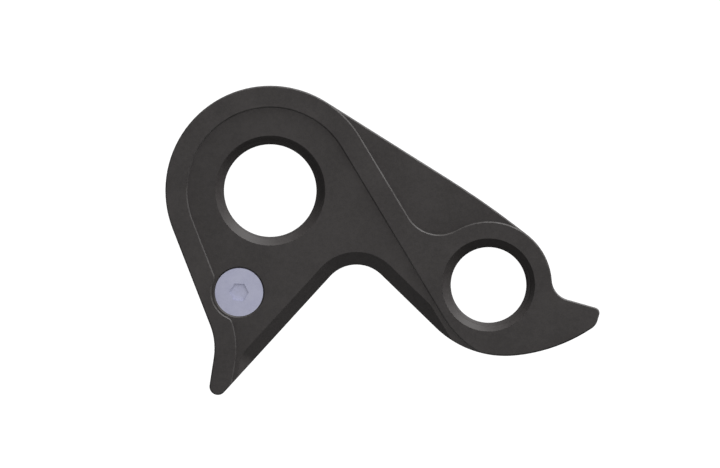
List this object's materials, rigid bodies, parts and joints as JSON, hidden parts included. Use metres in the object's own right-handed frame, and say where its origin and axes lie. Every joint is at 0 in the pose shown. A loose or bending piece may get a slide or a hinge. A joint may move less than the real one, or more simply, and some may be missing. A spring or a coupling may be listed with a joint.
{
  "type": "bicycle derailleur hanger",
  "caption": "Machined plate with a threaded axle hole in a hub pocket, a threaded derailleur hole in a boss with a stop claw, an open notch and a countersunk fixing screw.",
  "frame": {"origin": "on the wheel axle's axis, in the plane of the face that meets the frame", "axes": "+Z along the axle towards the wheel (inboard), +X towards the derailleur end and its stop claw, +Y towards the upper edge"},
  "size_m": [0.0513, 0.0366, 0.0085],
  "materials": {
    "anodised_aluminium": "black anodised, satin",
    "zinc_plated_steel": "zinc plated, pale blue tint"
  },
  "bodies": {
    "root": {"hanger": "anodised_aluminium", "fixing_screw": "zinc_plated_steel"}
  },
  "joints": []
}
